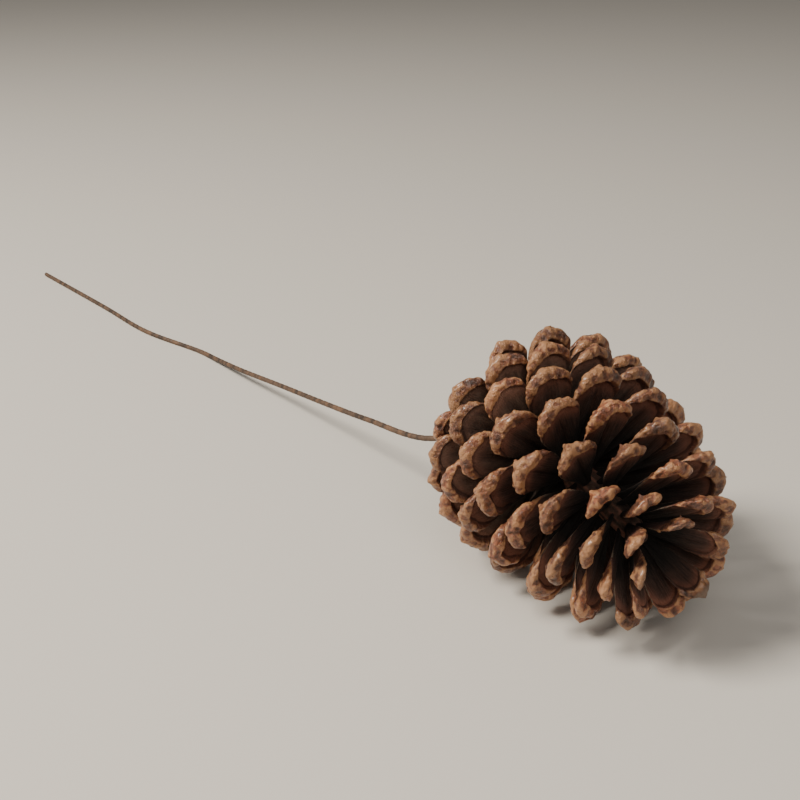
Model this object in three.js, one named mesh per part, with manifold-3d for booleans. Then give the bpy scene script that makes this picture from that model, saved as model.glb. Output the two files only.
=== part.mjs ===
// An open pine cone lying on its side, with the thin wrapped wire that florists push into its base.
//
// The cone is built along its own axis, base at zero and apex upwards, and is then laid down:
// the axis runs along +X and dips a little towards the apex, and the cone rests on small flats
// worn on its lowest scale tips. Millimetres, +Z up, origin at the bottom centre of the whole part.
//
// Its woody scales stand on the axis in a spiral. Each has a narrow foot, widens to a rounded
// spatula and ends in a thick lip. The large scales are solids of their own. The small ones at the
// base and the crowded ones round the apex are joined to the axis that they grow from.

import * as THREE from "three";
import { mergeVertices } from "three/addons/utils/BufferGeometryUtils.js";
import Module from "manifold-3d";

const wasm = await Module();
wasm.setup();

// Driving dimensions, in millimetres and degrees.

const SCALE_COUNT = 98;
const LOOSE_FROM = 12;
const LOOSE_COUNT = 58;

const DIVERGENCE = -137.76;
const FIRST_SCALE_ANGLE = 308.7;

const AXIS_LENGTH = 60;
const AXIS_BASE_RADIUS = 6.2;
const AXIS_APEX_RADIUS = 2.2;
const AXIS_SIDES = 12;

// Where the tips and the feet of the scales lie, at six evenly spaced places along the spiral. The
// spiral has a few more steps than there are scales, because the last ones never grew.
const SPIRAL_STEPS = 101;
const TIP_RADII = [31.5, 34.8, 34.3, 31.6, 25, 10.5];
const TIP_HEIGHTS = [3.2, 12.7, 26.2, 45.2, 65.2, 78.2];
const FOOT_HEIGHTS = [4, 11.5, 21, 33.5, 48, 59];

const FOOT_GAP = 0.35;
const FOOT_SINK = 1.2;

const SCALE_WIDTH = 13.5;
const BASE_WIDTH_SHARE = 0.78;
const APEX_WIDTH_SHARE = 0.46;
const SCALE_ARCH = 1;

const DIP = THREE.MathUtils.degToRad(6);
const WORN_FLAT = 1.2;

const WIRE_RADIUS = 0.9;
const WIRE_SIDES = 8;
const WIRE_STEPS = 48;

// The outline of one scale from foot to lip: how far along it, its half width and its thickness
// above and below its middle surface, as shares of the full half width.
const STATIONS = [
  { along: 0.0, half: 0.25, above: 0.13, below: 0.13 },
  { along: 0.32, half: 0.45, above: 0.11, below: 0.14 },
  { along: 0.62, half: 0.82, above: 0.12, below: 0.22 },
  { along: 0.82, half: 1.0, above: 0.24, below: 0.36 },
  { along: 0.94, half: 0.84, above: 0.3, below: 0.34 },
  { along: 1.0, half: 0.46, above: 0.16, below: 0.18 },
];

// The six corners of a cross-section: a share of the half width, and a share of the thickness.
const CORNERS = [
  [1.0, 0.0],
  [0.55, 1.0],
  [-0.55, 1.0],
  [-1.0, 0.0],
  [-0.55, -1.0],
  [0.55, -1.0],
];

// A smooth run through evenly spaced values, from share 0 to share 1.
function smoothRun(values) {
  const curve = new THREE.SplineCurve(values.map((value, i) => new THREE.Vector2(i, value)));
  return (share) => curve.getPoint(share).y;
}

const tipRadius = smoothRun(TIP_RADII);
const tipHeight = smoothRun(TIP_HEIGHTS);
const footHeightAt = smoothRun(FOOT_HEIGHTS);

function axisRadius(height) {
  return THREE.MathUtils.mapLinear(height, 0, AXIS_LENGTH, AXIS_BASE_RADIUS, AXIS_APEX_RADIUS);
}

// Scales are widest a little below the middle of the cone and narrow towards both ends.
function widthShare(share) {
  const towardsBase = Math.max(0, 1 - share / 0.25);
  const towardsApex = Math.max(0, (share - 0.5) / 0.5);
  const lostAtBase = (1 - BASE_WIDTH_SHARE) * towardsBase ** 2;
  const lostAtApex = (1 - APEX_WIDTH_SHARE) * towardsApex ** 1.6;
  return 1 - lostAtBase - lostAtApex;
}

// One scale, numbered from the base of the cone. A joined scale's foot sinks into the axis.
function scaleGeometry(number, joined) {
  const share = number / SPIRAL_STEPS;
  const angle = THREE.MathUtils.degToRad(FIRST_SCALE_ANGLE + DIVERGENCE * number);
  const halfWidth = (SCALE_WIDTH / 2) * widthShare(share);
  const footHeight = footHeightAt(share);
  const footRadius = axisRadius(footHeight) + (joined ? -FOOT_SINK : FOOT_GAP);

  const foot = new THREE.Vector2(footRadius, footHeight);
  const tip = new THREE.Vector2(tipRadius(share), tipHeight(share));
  const across = tip.clone().sub(foot);
  const bulge = new THREE.Vector2(-across.y, across.x).normalize().multiplyScalar(SCALE_ARCH);
  const middle = foot.clone().lerp(tip, 0.45).add(bulge);
  const line = new THREE.QuadraticBezierCurve(foot, middle, tip);

  const outward = new THREE.Vector3(Math.cos(angle), Math.sin(angle), 0);
  const sideways = new THREE.Vector3(-Math.sin(angle), Math.cos(angle), 0);
  const upward = new THREE.Vector3(0, 0, 1);

  const vertices = [];
  for (const station of STATIONS) {
    const centre = line.getPoint(station.along);
    const tangent = line.getTangent(station.along);
    const half = halfWidth * station.half;
    for (const [widthPart, heightPart] of CORNERS) {
      const thickness = halfWidth * (heightPart > 0 ? station.above : station.below) * heightPart;
      const radius = centre.x - tangent.y * thickness;
      const height = centre.y + tangent.x * thickness;
      const vertex = outward.clone().multiplyScalar(radius);
      vertex.addScaledVector(upward, height);
      vertex.addScaledVector(sideways, half * widthPart);
      vertices.push(vertex.x, vertex.y, vertex.z);
    }
  }

  const triangles = [];
  const around = CORNERS.length;
  for (let ring = 0; ring + 1 < STATIONS.length; ring += 1) {
    for (let i = 0; i < around; i += 1) {
      const a = ring * around + i;
      const b = ring * around + ((i + 1) % around);
      triangles.push(a, b, a + around);
      triangles.push(b, b + around, a + around);
    }
  }
  const last = (STATIONS.length - 1) * around;
  for (let i = 1; i + 1 < around; i += 1) {
    triangles.push(0, i + 1, i);
    triangles.push(last, last + i, last + i + 1);
  }

  const geometry = new THREE.BufferGeometry();
  geometry.setAttribute("position", new THREE.Float32BufferAttribute(vertices, 3));
  geometry.setIndex(triangles);
  return geometry;
}

// The woody middle of the cone, a tapered spindle with a domed base and a blunt apex.
function spindleGeometry() {
  const profile = [
    new THREE.Vector2(0, -1.2),
    new THREE.Vector2(AXIS_BASE_RADIUS * 0.7, -0.6),
    new THREE.Vector2(AXIS_BASE_RADIUS, 1.5),
    new THREE.Vector2(axisRadius(AXIS_LENGTH / 2), AXIS_LENGTH / 2),
    new THREE.Vector2(AXIS_APEX_RADIUS, AXIS_LENGTH),
    new THREE.Vector2(0, AXIS_LENGTH + 1.8),
  ];
  const geometry = new THREE.LatheGeometry(profile, AXIS_SIDES);
  geometry.rotateX(Math.PI / 2);
  return geometry;
}

function toManifold(geometry) {
  const bare = geometry.clone();
  bare.deleteAttribute("normal");
  bare.deleteAttribute("uv");
  const merged = mergeVertices(bare, 1e-4);
  const vertProperties = new Float32Array(merged.attributes.position.array);
  const triVerts = new Uint32Array(merged.index.array);
  return new wasm.Manifold(new wasm.Mesh({ numProp: 3, vertProperties, triVerts }));
}

function toGeometry(solid) {
  const mesh = solid.getMesh();
  const geometry = new THREE.BufferGeometry();
  geometry.setAttribute("position", new THREE.Float32BufferAttribute(mesh.vertProperties, 3));
  geometry.setIndex(Array.from(mesh.triVerts));
  return geometry;
}

// The axis with the small scales of the base and the apex grown onto it, as one solid.
function axisGeometry() {
  let solid = toManifold(spindleGeometry());
  for (let number = 0; number < SCALE_COUNT; number += 1) {
    const loose = number >= LOOSE_FROM && number < LOOSE_FROM + LOOSE_COUNT;
    if (!loose) {
      solid = solid.add(toManifold(scaleGeometry(number, true)));
    }
  }
  return toGeometry(solid);
}

// The turn that lays the cone on its side: its axis goes from +Z to +X, with the apex dipped.
const layDown = new THREE.Matrix4().makeRotationY(Math.PI / 2 + DIP);

function lowestPoint(geometries) {
  let lowest = Infinity;
  for (const geometry of geometries) {
    geometry.computeBoundingBox();
    lowest = Math.min(lowest, geometry.boundingBox.min.z);
  }
  return lowest;
}

// Wear whatever reaches below the ground flat, so that the part lies on small level spots.
function wearFlat(geometry, ground) {
  const position = geometry.attributes.position;
  for (let i = 0; i < position.count; i += 1) {
    position.setZ(i, Math.max(position.getZ(i), ground));
  }
}

// The wire: out of the base, down to the ground and away, with the slight kinks of a bent wire.
// Its points are measured from the base of the cone, with heights above the ground.
const WIRE_ROUTE = [
  [-2.4, 0, 35.5],
  [-10, -8, 31],
  [-25, -17, 23],
  [-57, -23, 17],
  [-84, -27, 12.5],
  [-113, -32, 8.5],
  [-145, -38, 4.2],
  [-164, -41, 1.9],
  [-178, -44, WIRE_RADIUS],
  [-210, -58, WIRE_RADIUS],
  [-248, -67, WIRE_RADIUS],
  [-308, -82, WIRE_RADIUS],
];

function wireGeometry() {
  const points = WIRE_ROUTE.map(([x, y, z]) => new THREE.Vector3(x, y, z));
  const route = new THREE.CatmullRomCurve3(points, false, "centripetal");
  const section = new THREE.Shape();
  for (let i = 0; i < WIRE_SIDES; i += 1) {
    const angle = (2 * Math.PI * (i + 0.5)) / WIRE_SIDES;
    const x = WIRE_RADIUS * Math.cos(angle);
    const y = WIRE_RADIUS * Math.sin(angle);
    if (i === 0) section.moveTo(x, y);
    else section.lineTo(x, y);
  }
  section.closePath();
  return new THREE.ExtrudeGeometry(section, { steps: WIRE_STEPS, extrudePath: route });
}

function part(name, geometry, material) {
  const mesh = new THREE.Mesh(geometry, material);
  mesh.name = name;
  return mesh;
}

const axisWood = new THREE.MeshStandardMaterial({ color: 0x3a2419, roughness: 0.85, metalness: 0 });
const scaleWood = new THREE.MeshStandardMaterial({ color: 0x8a5a3a, roughness: 0.6, metalness: 0 });
const wrappedWire = new THREE.MeshStandardMaterial({ color: 0x6e4a32, roughness: 0.7, metalness: 0 });

const named = [["cone_axis", axisGeometry()]];
for (let number = LOOSE_FROM; number < LOOSE_FROM + LOOSE_COUNT; number += 1) {
  named.push([`scale_${String(number + 1).padStart(3, "0")}`, scaleGeometry(number, false)]);
}

const geometries = named.map(([, geometry]) => geometry);
for (const geometry of geometries) geometry.applyMatrix4(layDown);
const ground = lowestPoint(geometries) + WORN_FLAT;
for (const geometry of geometries) {
  wearFlat(geometry, ground);
  geometry.translate(0, 0, -ground);
}

const group = new THREE.Group();
for (const [name, geometry] of named) {
  group.add(part(name, geometry, name === "cone_axis" ? axisWood : scaleWood));
}
const wire = wireGeometry();
wearFlat(wire, 0);
group.add(part("wire_stem", wire, wrappedWire));

const centre = new THREE.Box3().setFromObject(group).getCenter(new THREE.Vector3());
group.position.set(-centre.x, -centre.y, 0);
group.updateMatrixWorld(true);

export default group;
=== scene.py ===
"""An open pine cone lying on its side, with the wrapped wire that florists push into its base.

Every woody scale is a closed surface worked out from its place in the spiral: a thin stalk that widens
to a rounded blade and ends in a thick wrinkled lip with a raised rim. The scales, the axis and the wire
stand in for the plain solids of the frame, in the same places. Metres, +Z up.
"""

import math
from typing import NamedTuple

import bpy
import numpy as np
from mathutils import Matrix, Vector


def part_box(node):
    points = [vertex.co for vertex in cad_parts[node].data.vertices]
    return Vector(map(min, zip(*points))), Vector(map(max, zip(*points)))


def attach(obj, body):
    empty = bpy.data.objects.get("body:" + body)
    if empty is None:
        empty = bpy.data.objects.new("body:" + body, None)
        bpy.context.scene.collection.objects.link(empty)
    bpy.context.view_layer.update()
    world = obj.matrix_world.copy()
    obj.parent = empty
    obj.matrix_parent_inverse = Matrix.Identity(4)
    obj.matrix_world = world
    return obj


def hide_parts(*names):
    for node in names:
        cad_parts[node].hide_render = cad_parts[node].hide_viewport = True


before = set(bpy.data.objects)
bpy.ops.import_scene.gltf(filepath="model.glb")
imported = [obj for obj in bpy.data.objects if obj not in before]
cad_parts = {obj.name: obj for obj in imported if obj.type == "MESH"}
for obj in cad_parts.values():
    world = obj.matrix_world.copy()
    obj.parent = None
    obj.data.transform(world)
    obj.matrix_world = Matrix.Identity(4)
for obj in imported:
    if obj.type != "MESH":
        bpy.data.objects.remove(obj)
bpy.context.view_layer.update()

bl_info = {
    "name": "Pine Cone",
    "version": (1, 0, 0),
    "blender": (4, 5, 0),
    "location": "View3D > Sidebar > Pine Cone",
    "description": "Builds an open pine cone with its florist's wire",
    "category": "Add Mesh",
}

MM = 0.001
SEED = 41

# The spiral of scales. The runs of values are spread evenly along it. It has a few more steps than
# there are scales, because the last ones never grew.
SCALE_COUNT = 98
SPIRAL_STEPS = 101
LOOSE_SCALES = range(12, 70)
BROKEN_SCALE = 96
TIP_RADII = np.array([31.5, 34.8, 34.3, 31.6, 25, 10.5]) * MM
TIP_HEIGHTS = np.array([3.2, 12.7, 26.2, 45.2, 65.2, 78.2]) * MM
FOOT_HEIGHTS = np.array([4, 11.5, 21, 33.5, 48, 59]) * MM
FOOT_SINK = 1.2 * MM
BASE_WIDTH_SHARE = 0.78
APEX_WIDTH_SHARE = 0.46
SCALE_ARCH = 1 * MM

# The base of the cone's axis. The wire starts beside it, and the highest corner of the wire's box stands
# this far from it.
WIRE_CORNER_FROM_BASE = Vector((-1.708, 0.667, 0.478)) * MM
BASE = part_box("wire_stem")[1] - WIRE_CORNER_FROM_BASE

# The wire's route: X and Y from the base of the cone, and the height above the ground, in millimetres.
# The first point is inside the axis.
WIRE_RADIUS = 0.9 * MM
WIRE_ROUTE = [
    (1.2, 0.3, 35.6),
    (-2.4, 0, 35.5),
    (-10, -8, 31),
    (-25, -17, 23),
    (-57, -23, 17),
    (-84, -27, 12.5),
    (-113, -32, 8.5),
    (-145, -38, 4.2),
    (-164, -41, 1.9),
    (-178, -44, WIRE_RADIUS / MM),
    (-210, -58, WIRE_RADIUS / MM),
    (-248, -67, WIRE_RADIUS / MM),
    (-308, -82, WIRE_RADIUS / MM),
]

# How the grid of one scale is laid: rows along it, closer together on the lip, and columns around it.
ROOT = -0.07
WAIST = 0.5
SHOULDER = 0.82
STALK_ROWS = 12
BLADE_ROWS = 14
LIP_ROWS = 32
COLUMNS = 104

# The stalk's share of a scale's width, where the tip starts to close, and the most that a tip swings.
STALK_SHARE = 0.26
TIP_CLOSING = 0.88
MOST_SWING = math.radians(7)

# The thickness of a scale over and under its middle surface, from foot to tip, in half widths.
TOP_RUN = [0.14, 0.11, 0.09, 0.09, 0.13, 0.15]
BOTTOM_RUN = [0.14, 0.14, 0.15, 0.20, 0.32, 0.34]

# The ellipses that bound the lip on the two faces: how far their centre stands back from the shoulder
# and their radii, in half widths. The upper one's radius across is one half width.
RIM_SETBACK = 0.62
RIM_LENGTH = 1.08
UNDER_SETBACK = 1.45
UNDER_LENGTH = 1.3
UNDER_WIDTH = 1.15

# How far past its last ring a scale's end pole stands, and the relief that runs from dark to pale.
TIP_CAP = 0.25 * MM
RELIEF_SHOWN = 0.75 * MM

# The apex scales are two pieces, and the second one starts here.
APEX_START = 84

# The axis: its grid, how far it goes past its two ends, the depth of the pit in the middle of the base,
# and the heights over which the ends close.
AXIS_ROWS = 170
AXIS_COLUMNS = 96
BASE_DOME = 1.4 * MM
APEX_DOME = 2 * MM
BASE_PIT = 0.2 * MM
BASE_CLOSING = 3.2 * MM
APEX_CLOSING = 3 * MM

# The wire's grid, and the steps of its curve between two points of the route.
WIRE_ROWS = 760
WIRE_COLUMNS = 24
STRETCH_STEPS = 60

# In the finishes: the streaks over half a blade's width, the cells between the cracks, and how far
# apart the nodes are drawn.
FIBRES_ACROSS = 26.0
CRACK_CELL = 1.9 * MM
NODE_STEP = 200

# Noise: the numbers along each side of its grid, and the steps that keep two scales' noise apart.
NOISE_GRID = 32
SPOT_STEP = 13 * MM
OWN_STEP = 17 * MM


# ---- sizes and colours


def length(label, text, default):
    """A size in metres that the sidebar shows."""
    return bpy.props.FloatProperty(
        name=label, description=text, default=default, unit="LENGTH", precision=4, min=0.0
    )


def angle(label, text, degrees):
    """An angle that the sidebar shows in degrees."""
    return bpy.props.FloatProperty(
        name=label, description=text, default=math.radians(degrees), subtype="ANGLE"
    )


def share(label, text, default):
    """A plain share from 0 upwards."""
    return bpy.props.FloatProperty(name=label, description=text, default=default, min=0.0)


def colour(label, text, default):
    """A base colour, in linear light."""
    return bpy.props.FloatVectorProperty(
        name=label, description=text, default=default, subtype="COLOR", size=3, min=0.0, max=1.0
    )


class ConeSizes(bpy.types.PropertyGroup):
    """The sizes that drive the cone and its wire."""

    divergence: angle("Divergence", "The turn from one scale to the next", -137.76)
    first_angle: angle("First scale", "Where the lowest scale stands, from straight down", 308.7)
    dip: angle("Dip", "How far the axis dips towards the apex", 6)
    axis_length: length("Axis length", "The woody axis from base to apex", 0.060)
    base_radius: length("Axis at base", "The radius of the axis at its base", 0.0062)
    apex_radius: length("Axis at apex", "The radius of the axis at its apex", 0.0022)
    scale_width: length("Scale width", "The width of the widest scales", 0.0135)
    rim_rise: share("Rim rise", "How far the rim of the lip stands up, in half widths", 0.2)
    groove: share("Groove", "How deep the groove inside the rim is, in half widths", 0.09)
    lumps: length("Lumps", "The height of the lumps on a lip", 0.00030)
    wrinkles: length("Wrinkles", "The height of the wrinkles that cross a lip", 0.00028)
    wrap_pitch: length("Wrap pitch", "The advance of the wire's paper wrap in one turn", 0.0034)


class ConeColours(bpy.types.PropertyGroup):
    """The colours of the finishes."""

    lip: colour("Lip", "The open, weathered wood of the lips", (0.27, 0.108, 0.046))
    lip_warm: colour("Warm lip", "The redder wood of some lips", (0.28, 0.088, 0.036))
    lip_patch: colour("Lip patches", "The dull purple brown patches on the lips", (0.150, 0.064, 0.046))
    # Pale worn ridges, partly a painted highlight.
    lip_ridge: colour("Lip ridges", "The pale worn ridges of the lips", (0.46, 0.225, 0.098))
    blade: colour("Blade", "The inner face of a scale", (0.070, 0.032, 0.022))
    blade_streak: colour("Blade streaks", "The red brown fibres of the inner face", (0.160, 0.070, 0.044))
    blush: colour("Blush", "The warmer wood beside the rim", (0.34, 0.130, 0.078))
    # Painted shade with darker wood: the near black of the scales' feet down in the recesses.
    deep: colour("Deep wood and shade", "The dark feet of the scales", (0.014, 0.008, 0.005))
    # Pale skin along a blade's edge, together with a painted edge highlight.
    blade_edge_highlight: colour("Blade edge", "The thin pale skin along a blade's edge", (0.46, 0.34, 0.24))
    # The seed beds' own grey, and also painted light on the upper faces of the scales near the base.
    scar: colour("Seed scar", "The grey brown beds of the seeds", (0.40, 0.280, 0.205))
    axis: colour("Axis", "The dark wood of the axis", (0.085, 0.045, 0.028))
    wire: colour("Wire", "The brown paper round the wire", (0.105, 0.060, 0.034))
    wire_dark: colour("Wire seam", "The shaded seam of the paper wrap", (0.080, 0.044, 0.026))
    floor: colour("Floor", "The plain floor", (0.62, 0.575, 0.51))


# ---- numbers and noise


def smooth_step(low, high, value):
    """0 below low and 1 above high, with 3t squared minus 2t cubed between."""
    t = np.clip((value - low) / (high - low), 0.0, 1.0)
    return t * t * (3 - 2 * t)


def hump(value, centre, width):
    """A bell: e to the minus square of the distance from the centre in widths."""
    return np.exp(-(((value - centre) / width) ** 2))


def smooth_run(values, place):
    """Evenly spaced values from place 0 to 1, joined by a uniform Catmull-Rom curve: each stretch leaves
    and arrives with half the step between the values on its two sides."""
    values = np.asarray(values, float)
    last = len(values) - 1
    spot = np.clip(place, 0.0, 1.0) * last
    left = np.minimum(np.floor(spot).astype(int), last - 1)
    t = spot - left
    before = values[np.maximum(left - 1, 0)]
    start = values[left]
    end = values[left + 1]
    after = values[np.minimum(left + 2, last)]
    leave = (end - before) / 2
    arrive = (after - start) / 2
    cubic = 2 * start - 2 * end + leave + arrive
    square = -3 * start + 3 * end - 2 * leave - arrive
    return ((cubic * t + square) * t + leave) * t + start


def rough(points, cell, seed):
    """Smooth random heights from -1 to 1. Random numbers stand on a grid of the given cell size, and
    each point blends its eight nearest ones with 3t squared minus 2t cubed."""
    table = np.random.default_rng(seed).uniform(-1.0, 1.0, (NOISE_GRID,) * 3)
    place = points / cell
    corner = np.floor(place).astype(int)
    part = place - corner
    part = part * part * (3 - 2 * part)
    total = np.zeros(points.shape[:-1])
    for step in np.ndindex(2, 2, 2):
        near = np.where(np.array(step) == 1, part, 1 - part)
        spot = (corner + step) % NOISE_GRID
        total += near.prod(axis=-1) * table[spot[..., 0], spot[..., 1], spot[..., 2]]
    return total


def unit(vectors):
    """Vectors brought to length 1."""
    size = np.linalg.norm(vectors, axis=-1, keepdims=True)
    return vectors / np.maximum(size, 1e-12)


def lay_down(points, sizes):
    """From the cone's own frame, base at zero and apex along +Z, to the frame of the part: a quarter turn
    and the dip about Y, then the base's place. What would reach below the ground is worn flat on it."""
    turn = math.pi / 2 + sizes.dip
    x, y, z = np.moveaxis(points, -1, 0)
    forward = x * math.cos(turn) + z * math.sin(turn)
    upward = z * math.cos(turn) - x * math.sin(turn)
    laid = np.stack((forward, y, upward), -1) + BASE
    laid[..., 2] = np.maximum(laid[..., 2], 0.0)
    return laid


# ---- meshes


class Surface(NamedTuple):
    """A closed surface: a grid of rings, a pole at each end, and the values painted on its points."""

    rings: np.ndarray
    start: np.ndarray
    end: np.ndarray
    paint: dict


def surface_faces(rows, columns):
    """Four-sided faces between neighbouring rings, and a fan of triangles from each pole to its ring. The
    poles' points come after the rings'."""
    index = np.arange(rows * columns).reshape(rows, columns)
    beside = np.roll(index, -1, axis=1)
    quads = np.stack((index[:-1], beside[:-1], beside[1:], index[1:]), -1).reshape(-1, 4)
    first_pole = np.full(columns, rows * columns)
    start_fan = np.stack((first_pole, beside[0], index[0]), -1)
    end_fan = np.stack((first_pole + 1, index[-1], beside[-1]), -1)
    return quads.tolist(), np.concatenate((start_fan, end_fan)).tolist()


def enclosed_volume(surface):
    """A measure of the volume inside, from one triangle of each face as seen from the middle. Its sign
    shows whether the faces point outwards."""
    rings = surface.rings - surface.rings.reshape(-1, 3).mean(axis=0)
    a = rings[:-1]
    b = np.roll(rings, -1, axis=1)[:-1]
    c = rings[1:]
    return np.einsum("ijk,ijk->", a, np.cross(b, c))


def make_mesh(name, surfaces):
    """One object from closed surfaces, with their painted values as point attributes."""
    vertices = []
    faces = []
    paint = {}
    offset = 0
    for surface in surfaces:
        if enclosed_volume(surface) < 0:
            turned = {key: (values[:, ::-1], poles) for key, (values, poles) in surface.paint.items()}
            surface = surface._replace(rings=surface.rings[:, ::-1], paint=turned)
        points = np.concatenate((surface.rings.reshape(-1, 3), [surface.start, surface.end]))
        quads, fans = surface_faces(*surface.rings.shape[:2])
        faces += [[corner + offset for corner in face] for face in quads + fans]
        vertices.append(points)
        offset += len(points)
        for key, (values, poles) in surface.paint.items():
            paint.setdefault(key, []).append(np.concatenate((values.reshape(-1, 3), poles)))
    mesh = bpy.data.meshes.new(name)
    mesh.from_pydata(np.concatenate(vertices).tolist(), [], faces)
    for key, values in paint.items():
        attribute = mesh.attributes.new(key, "FLOAT_VECTOR", "POINT")
        attribute.data.foreach_set("vector", np.concatenate(values).astype(np.float32).ravel())
    mesh.shade_smooth()
    mesh.update()
    made = bpy.data.objects.new(name, mesh)
    bpy.context.scene.collection.objects.link(made)
    return made


def finish_piece(piece, material, slot, *nodes):
    """Gives a piece its material, hangs it under the root body and hides the frame's parts that it stands
    in for.
    """
    piece.data.materials.append(material)
    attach(piece, "root")
    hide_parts(*nodes)


# ---- one scale


class ScalePlace(NamedTuple):
    """Where one scale stands: its turn about the axis, its foot and tip as (radius, height), its size."""

    turn: float
    foot: np.ndarray
    tip: np.ndarray
    half_width: float


def scale_place(number, sizes):
    """The scale's share of the spiral sets its tip and foot. Widths fall off towards both ends."""
    spiral = number / SPIRAL_STEPS
    towards_base = max(0.0, 1 - spiral / 0.25)
    towards_apex = max(0.0, (spiral - 0.5) / 0.5)
    width = 1 - (1 - BASE_WIDTH_SHARE) * towards_base**2 - (1 - APEX_WIDTH_SHARE) * towards_apex**1.6
    foot_height = float(smooth_run(FOOT_HEIGHTS, spiral))
    taper = (sizes.apex_radius - sizes.base_radius) / sizes.axis_length
    foot_radius = sizes.base_radius + taper * foot_height - FOOT_SINK
    return ScalePlace(
        sizes.first_angle + sizes.divergence * number,
        np.array([foot_radius, foot_height]),
        np.array([float(smooth_run(TIP_RADII, spiral)), float(smooth_run(TIP_HEIGHTS, spiral))]),
        sizes.scale_width / 2 * width,
    )


def middle_line(place, along):
    """The scale's middle line in its (radius, height) plane: a parabola from foot to tip that bulges to
    the apex side. Gives its points, its unit tangents, and its unit normals on the apex side."""
    chord = place.tip - place.foot
    bulge = np.array([-chord[1], chord[0]]) / np.linalg.norm(chord) * SCALE_ARCH
    middle = place.foot + 0.45 * chord + bulge
    points = (1 - along) ** 2 * place.foot + 2 * along * (1 - along) * middle + along**2 * place.tip
    tangent = unit(2 * (1 - along) * (middle - place.foot) + 2 * along * (place.tip - middle))
    return points, tangent, np.stack((-tangent[..., 1], tangent[..., 0]), -1)


def outline(along, end_power):
    """The half width from foot to tip: a sine to the power 2.3 up to the shoulder, then a rounded end.
    With an end power of 2 that end is an ellipse. A lower power brings it nearer to a point."""
    grown = np.sin(np.pi / 2 * np.clip(along / SHOULDER, 0.0, 1.0)) ** 2.3
    end = np.clip((along - SHOULDER) / (1 - SHOULDER), 0.0, 1.0)
    width = STALK_SHARE + (1 - STALK_SHARE) * grown
    return width * np.maximum(1 - end**end_power, 0.0) ** (1 / end_power)


def scale_rows():
    """Places along a scale: even on the stalk and the blade, and by a sine on the lip, so that its rings
    crowd together as they close."""
    stalk = np.linspace(ROOT, WAIST, STALK_ROWS, endpoint=False)
    blade = np.linspace(WAIST, SHOULDER, BLADE_ROWS, endpoint=False)
    lip = SHOULDER + (1 - SHOULDER) * np.sin(np.linspace(0, np.pi / 2, LIP_ROWS, endpoint=False))
    return np.concatenate((stalk, blade, lip))[:, None]


class Habit(NamedTuple):
    """How one scale differs from its neighbours: shares from -1 to 1, and a tint from 0 to 1."""

    skew: float
    twist: float
    lean: float
    nod: float
    cup: float
    fullness: float
    blunt: float
    beak: float
    tint: float


def scale_habit(number):
    """A scale's own random shares, the same at every run."""
    chance = np.random.default_rng(SEED + number)
    return Habit(*chance.uniform(-1, 1, 8), chance.uniform())


class ScaleGrid(NamedTuple):
    """Where the points of one scale's grid lie on it, by row and column. Along is the share of the way
    from foot to tip, turn the angle round the section, and over holds the columns of the upper face. Side
    is the place across and beyond the place past the shoulder, both in half widths. Ring and under_ring
    are 1 on the ellipses that bound the lip on the two faces and less inside them, and arc is the angle
    round the first one. Spot is a place for noise that no two scales share."""

    along: np.ndarray
    turn: np.ndarray
    over: np.ndarray
    side: np.ndarray
    beyond: np.ndarray
    ring: np.ndarray
    under_ring: np.ndarray
    arc: np.ndarray
    spot: np.ndarray


def scale_grid(number, place, habit, reach):
    """The columns turn once round the scale, the upper face first, and their cosine is the place across.
    A ring is the length of a point's (side, beyond) vector from an ellipse's centre, measured in that
    ellipse's radii, with a little noise on it."""
    half = place.half_width
    along = scale_rows()
    turn = np.linspace(0, 2 * np.pi, COLUMNS, endpoint=False)[None, :]
    across = np.cos(turn) + 0 * along
    side = outline(along, 2.1 + 0.25 * habit.blunt) * (1 + 0.05 * habit.fullness) * across
    beyond = (along - SHOULDER) * reach / half + 0 * across
    spot = np.stack((side * half, beyond * half, 0 * side + number * SPOT_STEP), -1)
    rim_length = RIM_LENGTH - 0.07 * habit.fullness
    ring = np.hypot(side - 0.17 * habit.skew, np.maximum(beyond + RIM_SETBACK, 0.0) / rim_length)
    ring = ring + 0.07 * rough(spot, 2.6 * MM, SEED + 1)
    under_ring = np.hypot(side / UNDER_WIDTH, np.maximum(beyond + UNDER_SETBACK, 0.0) / UNDER_LENGTH)
    under_ring = under_ring + 0.05 * rough(spot, 2.2 * MM, SEED + 2)
    arc = np.arctan2(side, beyond + RIM_SETBACK)
    return ScaleGrid(along, turn, np.sin(turn) >= 0, side, beyond, ring, under_ring, arc, spot)


def seed_beds(grid):
    """Two long beds side by side, from near the foot to just inside the lip."""
    reach_of_beds = smooth_step(0.1, 0.3, grid.along) * smooth_step(0.92, 0.74, grid.along)
    return hump(np.abs(grid.side), 0.36, 0.26) * reach_of_beds, hump(grid.side, 0, 0.07) * reach_of_beds


def upper_thickness(grid, rim, habit, sizes, half):
    """The height over the middle surface in half widths: the plain run, the lip's raised rim with beads
    on its crest and a groove inside it, the swollen seed beds and the furrow between them."""
    bead_place = np.stack((grid.arc * half, 0 * grid.arc, grid.spot[..., 2]), -1)
    beads = rough(bead_place, 1.7 * MM, SEED + 3)
    bed, furrow = seed_beds(grid)
    top = smooth_run(TOP_RUN, grid.along) + sizes.rim_rise * (1 + 0.2 * habit.fullness) * rim
    top = top - sizes.groove * hump(grid.ring, 0.91, 0.07) + 0.03 * beads * hump(grid.ring, 1.13, 0.09)
    return top + 0.07 * bed - 0.05 * furrow


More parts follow.
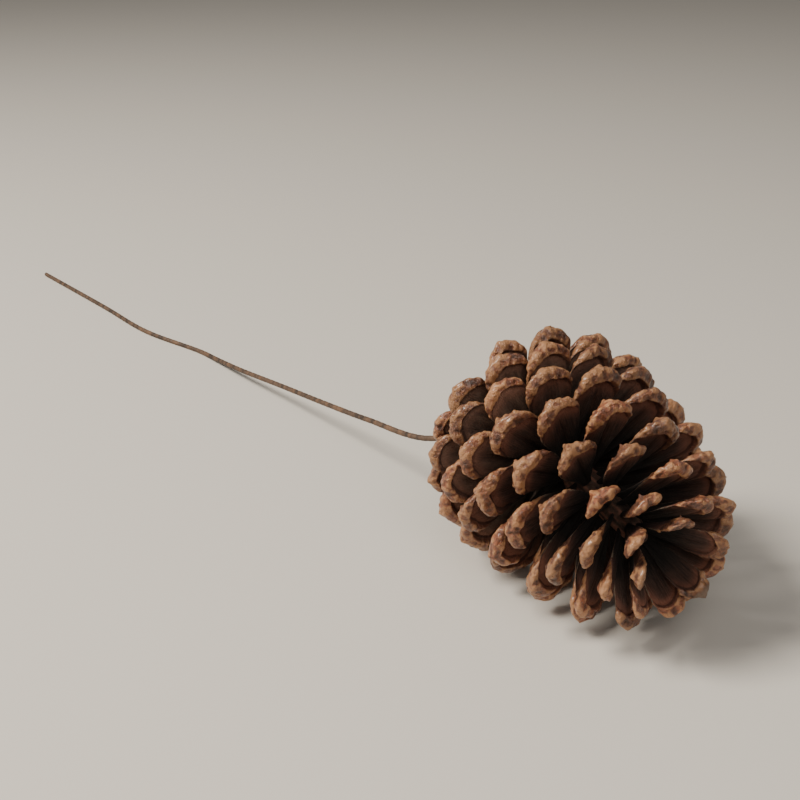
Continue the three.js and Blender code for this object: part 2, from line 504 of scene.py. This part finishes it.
def lower_thickness(grid, habit):
    """The depth under the middle surface in half widths: the plain run, thinner to the sides, with a
    keel down its middle, and on the lip a low boss with a small prickle."""
    boss_side = grid.side - 0.1 * habit.skew
    boss = hump(boss_side, 0, 0.2) * hump(grid.beyond, 0.42, 0.2)
    prickle = hump(boss_side, 0, 0.07) * hump(grid.beyond, 0.46, 0.07)
    keel = hump(grid.side, 0, 0.16) * smooth_step(0.0, 0.5, grid.along)
    plain = smooth_run(BOTTOM_RUN, grid.along) * (1 - 0.3 * grid.side**2)
    return plain + 0.10 * boss + 0.08 * prickle + 0.07 * keel


def scale_thickness(grid, rim, habit, sizes, half):
    """The height of each point over the middle surface, in metres. A column's sine to the power 0.85 is
    its share of the full thickness, a quarter ellipse closes the tip, and the sides curl up with the
    square of the place across, as a shallow spoon does."""
    lift = np.abs(np.sin(grid.turn)) ** 0.85
    closed = np.clip((grid.along - TIP_CLOSING) / (1 - TIP_CLOSING), 0.0, 1.0)
    top = upper_thickness(grid, rim, habit, sizes, half)
    bottom = lower_thickness(grid, habit)
    curl = (0.15 + 0.07 * habit.cup) * half * grid.side**2 * smooth_step(0.3, 0.85, grid.along)
    return np.where(grid.over, top, -bottom) * lift * np.sqrt(1 - closed**2) * half + curl


def scale_rings(grid, thick, habit, place, reach):
    """The points in the cone's own frame, and their place across and over the middle line. The section
    swings round that line with the square of the share along it. The tip leans to one side, nods up or
    down and ends in a short beak."""
    half = place.half_width
    grown = np.clip(grid.along, 0, 1) ** 2
    swing = MOST_SWING * habit.twist * grown
    wide = grid.side * half
    sideways = wide * np.cos(swing) - thick * np.sin(swing) + 0.035 * habit.lean * reach * grown
    height = wide * np.sin(swing) + thick * np.cos(swing)
    centre, tangent, normal = middle_line(place, grid.along)
    centre = centre + np.stack((0 * grid.along, 0.6 * MM * habit.nod * grown), -1)[:, 0]
    beak = (0.05 + 0.04 * habit.beak) * half * hump(grid.side, 0.1 * habit.skew, 0.15)
    beak = beak * smooth_step(0.88, 1.0, grid.along)
    flat_ring = centre[:, None, :] + normal[:, None, :] * (height - 0.5 * beak)[..., None]
    flat_ring = flat_ring + tangent[:, None, :] * beak[..., None]
    outward = np.array([math.cos(place.turn), math.sin(place.turn), 0.0])
    sidewards = np.array([-math.sin(place.turn), math.cos(place.turn), 0.0])
    upward = np.array([0.0, 0.0, 1.0])
    rings = flat_ring[..., :1] * outward + flat_ring[..., 1:] * upward + sideways[..., None] * sidewards
    return rings, wide, height


def outward_normals(rings):
    """The cross product of the steps along and round the grid, turned to point out of the scale."""
    step_along = np.gradient(rings, axis=0)
    step_round = np.roll(rings, -1, axis=1) - np.roll(rings, 1, axis=1)
    out = unit(np.cross(step_along, step_round))
    middle = rings.mean(axis=1, keepdims=True)
    return out * np.sign(np.sum(out * (rings - middle), axis=-1, keepdims=True).mean())


def scale_relief(number, grid, lip, wide, height, sizes, half, reach):
    """How far noise lifts each point. A lip has lumps of three sizes, and wrinkles that are short round
    the rim and long across it. A blade has ribs along it and broad waves. The broken tip is rougher."""
    own = np.stack((wide, grid.along * reach + 0 * wide, height), -1) + number * OWN_STEP
    lumps = 0.5 * rough(own, 3.4 * MM, SEED + 4) + 0.35 * rough(own, 1.6 * MM, SEED + 5)
    lumps = lumps + 0.25 * rough(own, 0.8 * MM, SEED + 9)
    across_lip = np.stack((grid.arc * half, grid.ring * half * 0.25, own[..., 2]), -1)
    wrinkles = rough(across_lip, 0.85 * MM, SEED + 6) + 0.4 * rough(across_lip, 0.5 * MM, SEED + 14)
    across = np.cos(grid.turn) + 0 * grid.along
    lengthwise = np.stack((across * 5 * MM, own[..., 1] / 9, own[..., 2] / 9), -1)
    ribs = rough(lengthwise, 0.8 * MM, SEED + 7)
    waves = rough(own, 4.5 * MM, SEED + 8)
    crumble = 2.5 if number == BROKEN_SCALE else 1.0
    relief = lip * crumble * (sizes.lumps * lumps + sizes.wrinkles * wrinkles)
    return relief + (1 - lip) * (0.09 * MM * ribs + 0.12 * MM * waves)


def scale_paint(number, grid, lip, relief, habit):
    """What the finish reads at each point. Mask holds the lip, the blade's pale edge with its painted
    edge highlight, and the height to show as worn or hollow, which carries a painted highlight on the
    rim's crest and painted shade in the crease inside it. Lay holds the place across, along and on which
    face. Kind holds the tint, the grey of the seed beds with painted light on the upper faces of the
    scales near the base, and the warmth beside the rim. The scales near the base are the greyest, as
    painted light. The broken tip has no lip, and its wood is pale and grey."""
    lip_tone = np.where(
        grid.over, smooth_step(0.94, 1.14, grid.ring), smooth_step(0.88, 1.10, grid.under_ring)
    )
    across = np.abs(np.cos(grid.turn)) + 0 * grid.along
    # The blade's pale edge: partly its own skin, partly a painted edge highlight.
    edge = smooth_step(0.93, 0.995, across) * (1 - lip) * smooth_step(0.25, 0.6, grid.along)
    # A painted highlight with some real pale wear on the rim's crest and the lip's outer edge, and
    # painted shade in the crease inside the rim.
    crest = np.where(grid.over, 0.2 * hump(grid.ring, 1.12, 0.06), 0.0)
    outer_edge = np.maximum(hump(np.sin(grid.turn), 0, 0.2), smooth_step(0.96, 1.0, grid.along))
    crest = crest + 0.22 * lip * outer_edge
    crease_shade = np.where(grid.over, 0.45 * hump(grid.ring, 0.95, 0.05), 0.0)
    crease_shade = crease_shade * smooth_step(0.5, 0.65, grid.along)
    shown = np.clip(0.5 + relief / RELIEF_SHOWN + crest - crease_shade, 0.0, 1.0)

    # Painted light: the upper faces of the scales near the base are painted pale grey, as if lit; the
    # seed beds are the wood's own grey.
    base_side_light = float(smooth_step(0.5, 0.18, number / SPIRAL_STEPS))
    blush = smooth_step(0.35, 0.95, grid.ring) * smooth_step(0.5, 0.8, grid.along)
    bed, _ = seed_beds(grid)
    upper = np.where(grid.over, 1.0, 0.0)
    grey = base_side_light * np.maximum(bed, 0.6 * smooth_step(0.35, 0.7, grid.along)) * upper

    broken = smooth_step(0.93, 0.97, grid.along) * (number == BROKEN_SCALE)
    mask = np.stack((lip_tone * (1 - broken), np.maximum(edge, broken), shown), -1)
    lay = np.stack((grid.side, grid.along + 0 * grid.side, upper + 0 * grid.side), -1)
    kind = np.stack((habit.tint + 0 * grid.side, np.maximum(grey, broken), blush), -1)
    return {"mask": mask, "lay": lay, "kind": kind}


def end_means(paint):
    """Each painted value with its mean over the first and the last ring, for the two poles."""
    return {key: (value, [value[0].mean(axis=0), value[-1].mean(axis=0)]) for key, value in paint.items()}


def scale_surface(number, sizes):
    """One closed scale: its shape, then the relief along its normals. The end pole stands a little past
    the last ring, so that the tip is round."""
    place = scale_place(number, sizes)
    habit = scale_habit(number)
    half = place.half_width
    reach = float(np.linalg.norm(place.tip - place.foot))
    grid = scale_grid(number, place, habit, reach)
    rim = smooth_step(0.99, 1.09, grid.ring)
    lip = np.where(grid.over, rim, smooth_step(0.96, 1.06, grid.under_ring))
    thick = scale_thickness(grid, rim, habit, sizes, half)
    rings, wide, height = scale_rings(grid, thick, habit, place, reach)
    relief = scale_relief(number, grid, lip, wide, height, sizes, half, reach)
    rings = rings + outward_normals(rings) * relief[..., None]
    last = rings[-1].mean(axis=0)
    pole = last + TIP_CAP * unit(last - rings[-3].mean(axis=0))
    return Surface(
        lay_down(rings, sizes),
        lay_down(rings[0].mean(axis=0), sizes),
        lay_down(pole, sizes),
        end_means(scale_paint(number, grid, lip, relief, habit)),
    )


# ---- the axis and the wire


def axis_surface(sizes):
    """The woody axis: a tapered spindle with a domed base and apex. A low hump stands at every scale's
    foot, and thin ridges run down it."""
    run = np.linspace(0, 1, AXIS_ROWS)[1:-1, None]
    turn = np.linspace(0, 2 * np.pi, AXIS_COLUMNS, endpoint=False)[None, :]
    whole = BASE_DOME + sizes.axis_length + APEX_DOME
    height = -BASE_DOME + whole * (1 - np.cos(np.pi * run)) / 2
    tapered = np.clip(height / sizes.axis_length, 0, 1)
    body = sizes.base_radius + (sizes.apex_radius - sizes.base_radius) * tapered
    from_base = np.clip((height + BASE_DOME) / BASE_CLOSING, 0, 1)
    from_apex = np.clip((sizes.axis_length + APEX_DOME - height) / APEX_CLOSING, 0, 1)
    radius = body * np.sqrt(1 - (1 - from_base) ** 2) * np.sqrt(1 - (1 - from_apex) ** 2) + 0 * turn
    for number in range(SCALE_COUNT):
        place = scale_place(number, sizes)
        round_it = np.angle(np.exp(1j * (turn - place.turn))) * body
        radius = radius + 0.7 * MM * hump(round_it, 0, 2 * MM) * hump(height, place.foot[1], 1.8 * MM)
    tall = height + 0 * turn
    skin = np.stack((np.cos(turn) * radius, np.sin(turn) * radius, tall / 6), -1)
    ridges = rough(skin, 0.8 * MM, SEED + 11)
    radius = radius * (1 + 0.05 * ridges)
    rings = np.stack((radius * np.cos(turn), radius * np.sin(turn), tall), -1)
    shown = np.clip(0.5 + 0.5 * ridges, 0, 1)
    mask = np.stack((0 * tall, 0 * tall, shown), -1)
    lay = np.stack((turn + 0 * tall, tall / sizes.axis_length, 0 * tall), -1)
    paint = {"mask": mask, "lay": lay, "kind": 0 * mask}
    ends = np.array([[0, 0, BASE_PIT - BASE_DOME], [0, 0, sizes.axis_length + APEX_DOME]])
    return Surface(lay_down(rings, sizes), *lay_down(ends, sizes), end_means(paint))


def wire_line(samples):
    """The wire's middle line at evenly spaced lengths: a centripetal Catmull-Rom curve, whose stretches
    take the square root of the distance between their two points as their time."""
    stops = np.array(WIRE_ROUTE, float) * MM + np.array([BASE.x, BASE.y, 0.0])
    stops = np.concatenate(([2 * stops[0] - stops[1]], stops, [2 * stops[-1] - stops[-2]]))
    times = np.sqrt(np.linalg.norm(np.diff(stops, axis=0), axis=1))
    slopes = np.diff(stops, axis=0) / times[:, None]
    across = (stops[2:] - stops[:-2]) / (times[1:] + times[:-1])[:, None]
    tangents = slopes[:-1] - across + slopes[1:]
    t = np.linspace(0, 1, STRETCH_STEPS, endpoint=False)[:, None]
    pieces = []
    for i in range(len(WIRE_ROUTE) - 1):
        start, end = stops[i + 1], stops[i + 2]
        leave, arrive = tangents[i] * times[i + 1], tangents[i + 1] * times[i + 1]
        cubic = 2 * start - 2 * end + leave + arrive
        square = -3 * start + 3 * end - 2 * leave - arrive
        pieces.append(((cubic * t + square) * t + leave) * t + start)
    points = np.concatenate(pieces + [stops[-2:-1]])
    travelled = np.concatenate(([0.0], np.cumsum(np.linalg.norm(np.diff(points, axis=0), axis=1))))
    even = np.linspace(0, travelled[-1], samples)
    return np.stack([np.interp(even, travelled, points[:, k]) for k in range(3)], -1), even


def wire_surface(sizes):
    """The wire's paper wrap: rings across its line. Their radius falls by about a tenth over the last
    quarter of each turn of the wrap, and steps back up at the seam, which winds along the wire."""
    line, travelled = wire_line(WIRE_ROWS)
    tangent = unit(np.gradient(line, axis=0))
    beside = unit(np.cross(tangent, np.array([0.0, 0.0, 1.0])))
    above = np.cross(beside, tangent)
    turn = np.linspace(0, 2 * np.pi, WIRE_COLUMNS, endpoint=False)[None, :]
    phase = (travelled[:, None] / sizes.wrap_pitch + turn / (2 * np.pi)) % 1.0
    seam = smooth_step(0.0, 0.12, phase) * smooth_step(1.0, 0.75, phase)
    place = line[:, None, :] + 0 * turn[..., None]
    crumple = rough(place, 1.6 * MM, SEED + 13)
    radius = WIRE_RADIUS * (0.88 + 0.1 * seam + 0.04 * crumple)
    spread = np.cos(turn)[..., None] * beside[:, None, :] + np.sin(turn)[..., None] * above[:, None, :]
    rings = place + radius[..., None] * spread
    rings[..., 2] = np.maximum(rings[..., 2], 0.0)
    mask = np.stack((seam, 0 * seam, np.clip(0.5 + 0.5 * crumple, 0, 1)), -1)
    lay = np.stack((phase, travelled[:, None] / travelled[-1] + 0 * turn, 0 * seam), -1)
    paint = {"mask": mask, "lay": lay}
    return Surface(rings, rings[0].mean(axis=0), rings[-1].mean(axis=0), end_means(paint))


# ---- finishes


class Tree:
    """Adds nodes to one material or group, in a row, and links what they are given."""

    def __init__(self, tree):
        self.tree = tree

    def node(self, kind, **settings):
        made = self.tree.nodes.new(kind)
        made.location = (NODE_STEP * len(self.tree.nodes), 0)
        for name, value in settings.items():
            setattr(made, name, value)
        return made

    def give(self, socket, value):
        """Links a socket to another one, or sets its own value."""
        if isinstance(value, bpy.types.NodeSocket):
            self.tree.links.new(value, socket)
        elif socket.type == "RGBA":
            socket.default_value = (*value, 1.0)
        else:
            socket.default_value = value

    def maths(self, operation, first, second):
        made = self.node("ShaderNodeMath", operation=operation)
        self.give(made.inputs[0], first)
        self.give(made.inputs[1], second)
        return made.outputs[0]

    def plus(self, first, second):
        return self.maths("ADD", first, second)

    def minus(self, first, second):
        return self.maths("SUBTRACT", first, second)

    def times(self, first, second):
        return self.maths("MULTIPLY", first, second)

    def between(self, value, low, high, start=0.0, end=1.0):
        """Eases from start to end as the value goes from low to high."""
        made = self.node("ShaderNodeMapRange", interpolation_type="SMOOTHSTEP")
        for socket, given in zip(made.inputs[:5], (value, low, high, start, end)):
            self.give(socket, given)
        return made.outputs[0]

    def mix(self, amount, first, second, blend="MIX"):
        made = self.node("ShaderNodeMix", data_type="RGBA", blend_type=blend)
        self.give(made.inputs[0], amount)
        self.give(made.inputs[6], first)
        self.give(made.inputs[7], second)
        return made.outputs[2]

    def dimmed(self, colour, level):
        """A colour times a plain number."""
        return self.mix(1.0, colour, self.vector(level, level, level), "MULTIPLY")

    def noise(self, place, size, detail=3.0, roughness=0.5, output="Fac"):
        """Noise whose patches are about the given size, in the units of the place."""
        made = self.node("ShaderNodeTexNoise")
        self.give(made.inputs["Vector"], place)
        self.give(made.inputs["Scale"], 1 / size)
        self.give(made.inputs["Detail"], detail)
        self.give(made.inputs["Roughness"], roughness)
        return made.outputs[output]

    def strayed(self, place, size, distance):
        """The place moved by up to the given distance along each axis, by noise."""
        made = self.node("ShaderNodeVectorMath", operation="MULTIPLY_ADD")
        self.give(made.inputs[0], self.noise(place, size, detail=2.0, output="Color"))
        self.give(made.inputs[1], (distance, distance, distance))
        self.give(made.inputs[2], place)
        return made.outputs[0]

    def parts(self, vector):
        made = self.node("ShaderNodeSeparateXYZ")
        self.give(made.inputs[0], vector)
        return made.outputs[:3]

    def vector(self, x, y, z):
        made = self.node("ShaderNodeCombineXYZ")
        for socket, given in zip(made.inputs, (x, y, z)):
            self.give(socket, given)
        return made.outputs[0]

    def attribute(self, name):
        return self.node("ShaderNodeAttribute", attribute_name=name).outputs["Vector"]

    def here(self):
        """The place on the object, in metres."""
        return self.node("ShaderNodeTexCoord").outputs["Object"]

    def use(self, group, **given):
        made = self.node("ShaderNodeGroup", node_tree=group)
        for name, value in given.items():
            self.give(made.inputs[name], value)
        return made.outputs


def new_group(name, inputs, outputs):
    """An empty node group with the given sockets, its wrapper, its inputs and its outputs."""
    group = bpy.data.node_groups.new(name, "ShaderNodeTree")
    kinds = {"colour": "NodeSocketColor", "value": "NodeSocketFloat", "vector": "NodeSocketVector"}
    for socket, kind in inputs.items():
        group.interface.new_socket(socket, in_out="INPUT", socket_type=kinds[kind])
    for socket, kind in outputs.items():
        group.interface.new_socket(socket, in_out="OUTPUT", socket_type=kinds[kind])
    tree = Tree(group)
    return group, tree, tree.node("NodeGroupInput").outputs, tree.node("NodeGroupOutput").inputs


def mottling_group():
    """Dull patches a few millimetres wide with fine specks inside and round them, and thin dark cracks
    between bent cells."""
    group, tree, given, result = new_group(
        "mottling",
        {"Colour": "colour", "Patch": "colour", "Place": "vector", "Amount": "value"},
        {"Colour": "colour", "Height": "value"},
    )
    broad = tree.noise(given["Place"], 3.2 * MM, detail=6, roughness=0.72)
    fine = tree.noise(given["Place"], 0.9 * MM, roughness=0.6)
    patches = tree.between(tree.plus(broad, tree.times(fine, 0.35)), 0.58, 0.78)
    patched = tree.mix(tree.times(patches, given["Amount"]), given["Colour"], given["Patch"])
    cells = tree.node("ShaderNodeTexVoronoi", feature="DISTANCE_TO_EDGE")
    tree.give(cells.inputs["Vector"], tree.strayed(given["Place"], 1.5 * MM, 1.2 * MM))
    tree.give(cells.inputs["Scale"], 1 / CRACK_CELL)
    crack = tree.between(cells.outputs["Distance"], 0.0, 0.13, start=0.62)
    tree.give(result["Colour"], tree.dimmed(patched, crack))
    tree.give(result["Height"], fine)
    return group


def wear_group():
    """Ridges rubbed pale, partly a painted highlight, and hollows darkened as painted shade, by the
    height painted on the surface.
    """
    group, tree, given, result = new_group(
        "pale ridges and painted hollow shade",
        {"Colour": "colour", "Ridge": "colour", "Relief": "value", "Place": "vector", "Amount": "value"},
        {"Colour": "colour"},
    )
    uneven = tree.plus(given["Relief"], tree.times(tree.noise(given["Place"], 1.1 * MM), 0.3))
    ridge = tree.times(tree.between(uneven, 0.66, 0.92), given["Amount"])
    # Painted shade in the hollows.
    hollow = tree.between(uneven, 0.36, 0.62, start=0.45)
    tree.give(result["Colour"], tree.dimmed(tree.mix(ridge, given["Colour"], given["Ridge"]), hollow))
    return group


def fibre_group():
    """Thin streaks that run from the foot of a scale to its lip and fan out with it."""
    group, tree, given, result = new_group(
        "wood fibre",
        {"Lay": "vector", "Seed": "value", "Count": "value"},
        {"Streak": "value", "Height": "value"},
    )
    across, along, face = tree.parts(given["Lay"])
    place = tree.vector(
        tree.times(across, given["Count"]),
        tree.times(along, 5.0),
        tree.plus(tree.times(given["Seed"], 40.0), tree.times(face, 7.0)),
    )
    streak = tree.noise(place, 1.0, detail=4, roughness=0.65)
    tree.give(result["Streak"], tree.between(streak, 0.38, 0.66))
    tree.give(result["Height"], streak)
    return group


def shade_group():
    """Painted shade of the deep recesses between the scales, together with wood darkened by old resin and
    dust, from the lip down to the foot of a scale.
    """
    group, tree, given, result = new_group(
        "painted deep shade",
        {"Colour": "colour", "Deep": "colour", "Along": "value", "Place": "vector"},
        {"Colour": "colour"},
    )
    uneven = tree.plus(given["Along"], tree.times(tree.noise(given["Place"], 5 * MM), 0.25))
    paled = tree.between(uneven, 0.52, 1.0)
    tree.give(result["Colour"], tree.mix(paled, given["Deep"], given["Colour"]))
    return group


def new_material(name):
    """A material with one Principled shader, its node tree's wrapper and the shader's inputs."""
    material = bpy.data.materials.new(name)
    material.use_nodes = True
    shader = material.node_tree.nodes["Principled BSDF"]
    return material, Tree(material.node_tree), shader.inputs


def bump(tree, height, depth, strength):
    """The normal of a fine relief of the given depth in metres."""
    made = tree.node("ShaderNodeBump")
    tree.give(made.inputs["Strength"], strength)
    tree.give(made.inputs["Distance"], depth)
    tree.give(made.inputs["Height"], height)
    return made.outputs["Normal"]


def scale_material(groups, colours):
    """A scale's wood: the mottled and worn lip, and the streaked dark blade with its pale edge and
    painted edge highlight, and its grey seed beds, painted lighter on the upper faces of the scales near
    the base. The blade darkens towards its foot as painted shade, the underside is dark only nearer its
    foot, and the hollows of the lip take painted shade."""
    _, tree, shader = new_material("fine_scale_wood")
    place = tree.here()
    lip, edge, relief = tree.parts(tree.attribute("mask"))
    blade = tree.minus(1.0, lip)
    lay = tree.attribute("lay")
    _, along, face = tree.parts(lay)
    tint, bed, blush = tree.parts(tree.attribute("kind"))

    skin = tree.mix(tint, colours.lip, colours.lip_warm)
    mottled = tree.use(groups["mottling"], Colour=skin, Patch=colours.lip_patch, Place=place, Amount=0.65)
    fibre = tree.use(groups["fibre"], Lay=lay, Seed=tint, Count=FIBRES_ACROSS)
    streaked = tree.mix(fibre["Streak"], colours.blade, colours.blade_streak)
    blushed = tree.mix(tree.times(blush, 0.9), streaked, colours.blush)
    # Pale edge skin and painted edge highlight along the blade's edge.
    edge_skin_and_highlight = tree.times(edge, tree.between(mottled["Height"], 0.35, 0.6))
    edged = tree.mix(edge_skin_and_highlight, blushed, colours.blade_edge_highlight)
    # Painted shade: the underside counts a quarter further along, so its painted shade stays nearer the
    # foot.
    reached = tree.plus(along, tree.between(face, 0.0, 1.0, start=0.25, end=0.0))
    recess_shaded = tree.use(groups["shade"], Colour=edged, Deep=colours.deep, Along=reached, Place=place)
    # The seed beds' grey, with painted light on the upper faces of the scales near the base.
    beds_and_painted_light = tree.mix(tree.times(bed, 0.8), recess_shaded["Colour"], colours.scar)
    # Pale worn ridges, partly painted highlight, and painted shade in the hollows.
    worn = tree.use(
        groups["wear"],
        Colour=tree.mix(lip, beds_and_painted_light, mottled["Colour"]),
        Ridge=colours.lip_ridge,
        Relief=relief,
        Place=place,
        Amount=tree.times(lip, 0.75),
    )
    level = tree.between(tint, 0.0, 1.0, start=0.80, end=1.14)
    tree.give(shader["Base Color"], tree.dimmed(worn["Colour"], level))

    gloss = tree.between(mottled["Height"], 0.3, 0.7, start=0.28, end=0.48)
    dull = tree.minus(0.86, tree.times(fibre["Streak"], 0.12))
    tree.give(shader["Roughness"], tree.plus(tree.times(gloss, lip), tree.times(dull, blade)))
    grain = tree.noise(place, 1.2 * MM, detail=5, roughness=0.62)
    grain = tree.plus(grain, tree.times(fibre["Height"], tree.times(blade, 1.6)))
    tree.give(shader["Normal"], bump(tree, grain, 1.4 * MM, 0.9))
    tree.give(shader["Coat Weight"], tree.times(lip, 0.4))
    tree.give(shader["Coat Roughness"], 0.24)
    tree.give(shader["Specular IOR Level"], 0.4)


def axis_material(groups, colours):
    """The axis: dark fibrous wood, a little paler on its ridges, with painted shade in the hollows
    between them.
    """
    _, tree, shader = new_material("fine_axis_wood")
    place = tree.here()
    _, _, relief = tree.parts(tree.attribute("mask"))
    mottled = tree.use(
        groups["mottling"], Colour=colours.axis, Patch=colours.blade, Place=place, Amount=0.6
    )
    worn = tree.use(
        groups["wear"],
        Colour=mottled["Colour"],
        Ridge=colours.blush,
        Relief=relief,
        Place=place,
        Amount=0.4,
    )
    tree.give(shader["Base Color"], worn["Colour"])
    tree.give(shader["Roughness"], tree.between(mottled["Height"], 0.3, 0.7, start=0.7, end=0.9))
    grain = tree.noise(place, 0.5 * MM, detail=4, roughness=0.6)
    tree.give(shader["Normal"], bump(tree, grain, 0.3 * MM, 0.8))


def wire_material(groups, colours):
    """Brown florist's paper wound round a wire, with painted shade along its seam and in its crumpled
    hollows, and a little rubbed.
    """
    _, tree, shader = new_material("fine_wrapped_wire")
    place = tree.here()
    seam, _, relief = tree.parts(tree.attribute("mask"))
    # Painted shade along the seam of the wrap.
    paper = tree.mix(tree.between(seam, 0.1, 0.8), colours.wire_dark, colours.wire)
    mottled = tree.use(
        groups["mottling"], Colour=paper, Patch=colours.wire_dark, Place=place, Amount=0.4
    )
    worn = tree.use(
        groups["wear"],
        Colour=mottled["Colour"],
        Ridge=colours.lip_ridge,
        Relief=relief,
        Place=place,
        Amount=0.12,
    )
    tree.give(shader["Base Color"], worn["Colour"])
    tree.give(shader["Roughness"], tree.between(mottled["Height"], 0.3, 0.7, start=0.55, end=0.75))
    grain = tree.noise(place, 0.3 * MM, roughness=0.6)
    tree.give(shader["Normal"], bump(tree, grain, 0.1 * MM, 0.6))


def finishes():
    """Every material of the object by name, with the shared groups made once."""
    if "fine_scale_wood" not in bpy.data.materials:
        colours = bpy.context.scene.cone_colours
        groups = {
            "mottling": mottling_group(),
            "wear": wear_group(),
            "fibre": fibre_group(),
            "shade": shade_group(),
        }
        for make_material in (scale_material, axis_material, wire_material):
            make_material(groups, colours)
    return bpy.data.materials


# ---- operators


class CONE_OT_stage(bpy.types.Operator):
    """Adds the camera, the lights and the floor"""

    bl_idname = "cone.stage"
    bl_label = "Camera, lights and floor"

    def execute(self, context):
        self.add_camera(context)
        self.add_floor(context)
        self.add_lights(context)
        return {"FINISHED"}

    def add_camera(self, context):
        """The camera stands off the apex end of the cone, and looks down across it."""
        data = bpy.data.cameras.new("camera")
        data.lens = 54
        data.sensor_width = 36
        camera = bpy.data.objects.new("camera", data)
        camera.location = (BASE.x + 0.2695, BASE.y - 0.1677, 0.1846)
        heading = math.radians(154.4)
        drop = math.radians(24.21)
        level = math.cos(drop)
        forward = Vector((math.cos(heading) * level, math.sin(heading) * level, -math.sin(drop)))
        camera.rotation_mode = "QUATERNION"
        camera.rotation_quaternion = forward.to_track_quat("-Z", "Y")
        context.scene.collection.objects.link(camera)
        context.scene.camera = camera

    def add_floor(self, context):
        """A plain pale floor, much wider than the object."""
        reach = 6.0
        mesh = bpy.data.meshes.new("floor")
        corners = [(-reach, -reach, 0), (reach, -reach, 0), (reach, reach, 0), (-reach, reach, 0)]
        mesh.from_pydata(corners, [], [(0, 1, 2, 3)])
        floor = bpy.data.objects.new("floor", mesh)
        context.scene.collection.objects.link(floor)
        material, tree, shader = new_material("floor")
        tree.give(shader["Base Color"], context.scene.cone_colours.floor)
        tree.give(shader["Roughness"], 0.85)
        mesh.materials.append(material)

    def add_lights(self, context):
        """A large soft key from the upper left, a wide low fill, and a dim even sky."""
        target = Vector((BASE.x + 0.04, BASE.y, 0.03))
        key = Vector((-0.25, -0.80, 0.95))
        fill = Vector((0.75, -0.30, 0.85))
        self.add_area(context, "key", target, key, size=0.4, power=24.0, tone=(1.0, 0.95, 0.87))
        self.add_area(context, "fill", target, fill, size=0.7, power=5.2, tone=(1.0, 0.97, 0.93))
        world = bpy.data.worlds.new("sky")
        world.use_nodes = True
        sky = world.node_tree.nodes["Background"].inputs
        sky["Color"].default_value = (1.0, 0.98, 0.96, 1.0)
        sky["Strength"].default_value = 0.17
        context.scene.world = world

    def add_area(self, context, name, target, offset, size, power, tone):
        """A square light at an offset from what it lights, turned to face it."""
        data = bpy.data.lights.new(name, "AREA")
        data.shape = "SQUARE"
        data.size = size
        data.energy = power
        data.color = tone
        light = bpy.data.objects.new(name, data)
        light.location = target + offset
        light.rotation_mode = "QUATERNION"
        light.rotation_quaternion = (-offset).to_track_quat("-Z", "Y")
        context.scene.collection.objects.link(light)


class CONE_OT_axis(bpy.types.Operator):
    """Adds the woody axis that the scales grow from"""

    bl_idname = "cone.axis"
    bl_label = "Axis"

    def execute(self, context):
        piece = make_mesh("fine_axis", [axis_surface(context.scene.cone_sizes)])
        finish_piece(piece, finishes()["fine_axis_wood"], "axis_wood", "cone_axis")
        return {"FINISHED"}


class CONE_OT_joined_scales(bpy.types.Operator):
    """Adds the small scales of the base and the crowded ones of the apex, which stay part of the axis"""

    bl_idname = "cone.joined_scales"
    bl_label = "Base and apex scales"

    def execute(self, context):
        sizes = context.scene.cone_sizes
        groups = {
            "fine_base_scales": range(LOOSE_SCALES.start),
            "fine_crown_scales": range(LOOSE_SCALES.stop, APEX_START),
            "fine_apex_scales": range(APEX_START, SCALE_COUNT),
        }
        for name, numbers in groups.items():
            piece = make_mesh(name, [scale_surface(number, sizes) for number in numbers])
            finish_piece(piece, finishes()["fine_scale_wood"], "scale_wood", "cone_axis")
        return {"FINISHED"}


class CONE_OT_loose_scales(bpy.types.Operator):
    """Adds the large open scales, each a piece of its own"""

    bl_idname = "cone.loose_scales"
    bl_label = "Open scales"

    def execute(self, context):
        sizes = context.scene.cone_sizes
        for number in LOOSE_SCALES:
            label = f"scale_{number + 1:03d}"
            piece = make_mesh(f"fine_{label}", [scale_surface(number, sizes)])
            finish_piece(piece, finishes()["fine_scale_wood"], "scale_wood", label)
        return {"FINISHED"}


class CONE_OT_wire(bpy.types.Operator):
    """Adds the wrapped wire"""

    bl_idname = "cone.wire"
    bl_label = "Wire"

    def execute(self, context):
        piece = make_mesh("fine_wire", [wire_surface(context.scene.cone_sizes)])
        finish_piece(piece, finishes()["fine_wrapped_wire"], "wrapped_wire", "wire_stem")
        return {"FINISHED"}


class CONE_PT_panel(bpy.types.Panel):
    """The cone's sizes, colours and pieces"""

    bl_label = "Pine Cone"
    bl_idname = "CONE_PT_panel"
    bl_space_type = "VIEW_3D"
    bl_region_type = "UI"
    bl_category = "Pine Cone"

    def draw(self, context):
        for group in (context.scene.cone_sizes, context.scene.cone_colours):
            box = self.layout.box()
            for name in group.__annotations__:
                box.prop(group, name)
        for operator in OPERATORS:
            self.layout.operator(operator.bl_idname)


OPERATORS = (CONE_OT_stage, CONE_OT_axis, CONE_OT_joined_scales, CONE_OT_loose_scales, CONE_OT_wire)
CLASSES = (ConeSizes, ConeColours, *OPERATORS, CONE_PT_panel)


def register():
    for each in CLASSES:
        bpy.utils.register_class(each)
    bpy.types.Scene.cone_sizes = bpy.props.PointerProperty(type=ConeSizes)
    bpy.types.Scene.cone_colours = bpy.props.PointerProperty(type=ConeColours)


def unregister():
    del bpy.types.Scene.cone_colours
    del bpy.types.Scene.cone_sizes
    for each in reversed(CLASSES):
        bpy.utils.unregister_class(each)


def main():
    """Builds the whole scene."""
    register()
    bpy.ops.cone.stage()
    bpy.ops.cone.axis()
    bpy.ops.cone.joined_scales()
    bpy.ops.cone.loose_scales()
    bpy.ops.cone.wire()


if __name__ == "__main__":
    main()
